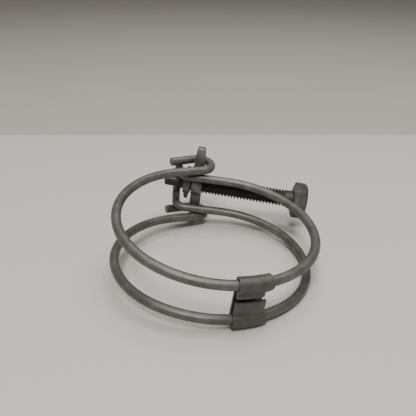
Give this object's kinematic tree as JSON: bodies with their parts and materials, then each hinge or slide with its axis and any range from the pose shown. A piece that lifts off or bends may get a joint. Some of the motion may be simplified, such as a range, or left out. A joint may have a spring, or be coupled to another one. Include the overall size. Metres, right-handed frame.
{
  "type": "hose clamp",
  "caption": "Double-wire hose clamp: two spring-wire rings held apart by a sheet clip and drawn closed by a hex bolt through a hooked nut bar.",
  "frame": {"origin": "on the hose axis, midway between the two wire rings", "axes": "+Z along the hose axis, -Y towards the spacer clip, +X towards the bolt head"},
  "size_m": [0.0787, 0.0782, 0.0312],
  "materials": {
    "ring_wire": "dull galvanised spring wire with faint draw lines",
    "clip_sheet": "dull plated sheet",
    "bar_steel": "bright zinc, rubbed",
    "bolt_steel": "dark zinc, dull"
  },
  "bodies": {
    "fixed_side": {"spacer_clip": "clip_sheet", "wire_loop": "ring_wire"},
    "hook_side": {"wire_hook_upper": "ring_wire", "wire_hook_lower": "ring_wire"},
    "nut": {"nut_bar": "bar_steel"},
    "seat": {"seat_plate": "bar_steel"},
    "screw": {"bolt": "bolt_steel"}
  },
  "joints": [
    {"name": "rings_close", "type": "hinge", "parent": "fixed_side", "child": "hook_side", "pos_m": [-0.00219, -0.03093, 0], "axis": [0, 0, 1], "range_deg": [-12.11, 0]},
    {"name": "nut_swivel", "type": "hinge", "parent": "hook_side", "child": "nut", "pos_m": [0.0014, 0.03536, 0], "axis": [0, 0, 1], "range_deg": [0, 20.36]},
    {"name": "bolt_advance", "type": "slide", "parent": "nut", "child": "seat", "axis": [-0.9438, 0.3305, 0], "range_m": [0, 0.01398]},
    {"name": "bolt_turn", "type": "hinge", "parent": "seat", "child": "screw", "pos_m": [0.0014, 0.03536, 0.0021], "axis": [-0.9438, 0.3305, 0], "range_deg": [0, 3960]}
  ],
  "couplings": [
    {"joint": "rings_close", "follows": "bolt_turn", "ratio": -0.0030556},
    {"joint": "nut_swivel", "follows": "bolt_turn", "ratio": 0.0051389},
    {"joint": "bolt_advance", "follows": "bolt_turn", "m_per_rad": 0.00020213}
  ]
}
